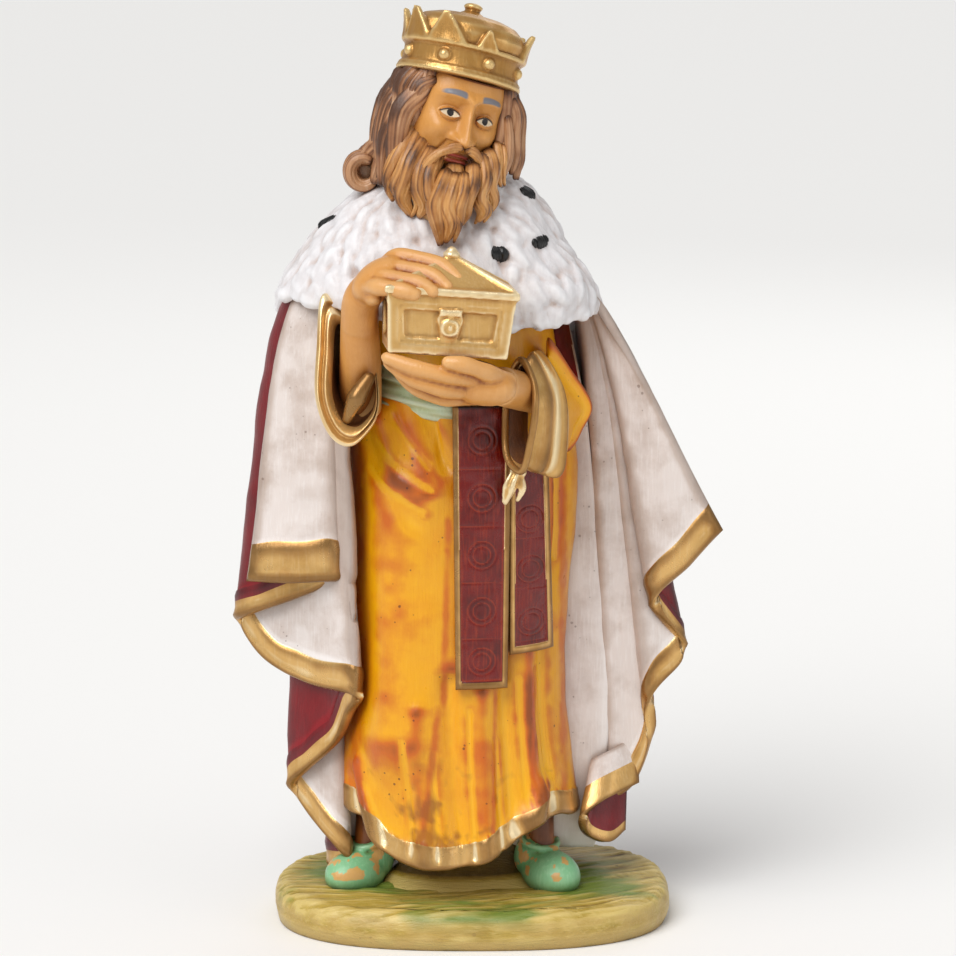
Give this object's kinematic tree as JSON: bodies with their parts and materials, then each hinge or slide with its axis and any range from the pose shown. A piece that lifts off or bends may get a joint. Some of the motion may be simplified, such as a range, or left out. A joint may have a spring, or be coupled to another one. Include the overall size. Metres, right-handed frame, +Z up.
{
  "type": "nativity wise man figurine",
  "caption": "Standing king from a nativity set, in a robe, ermine-collared cape and crown, holding a small casket, cast in one piece with its ground.",
  "frame": {"origin": "centre of the flat underside of the ground slab", "axes": "+Z up to the crown, -Y the way the figure faces, +X the viewer's right"},
  "size_m": [0.0973, 0.0704, 0.1835],
  "materials": {
    "painted_resin": "cast resin, hand painted, satin"
  },
  "bodies": {
    "root": {"king_figurine": "painted_resin"}
  },
  "joints": []
}
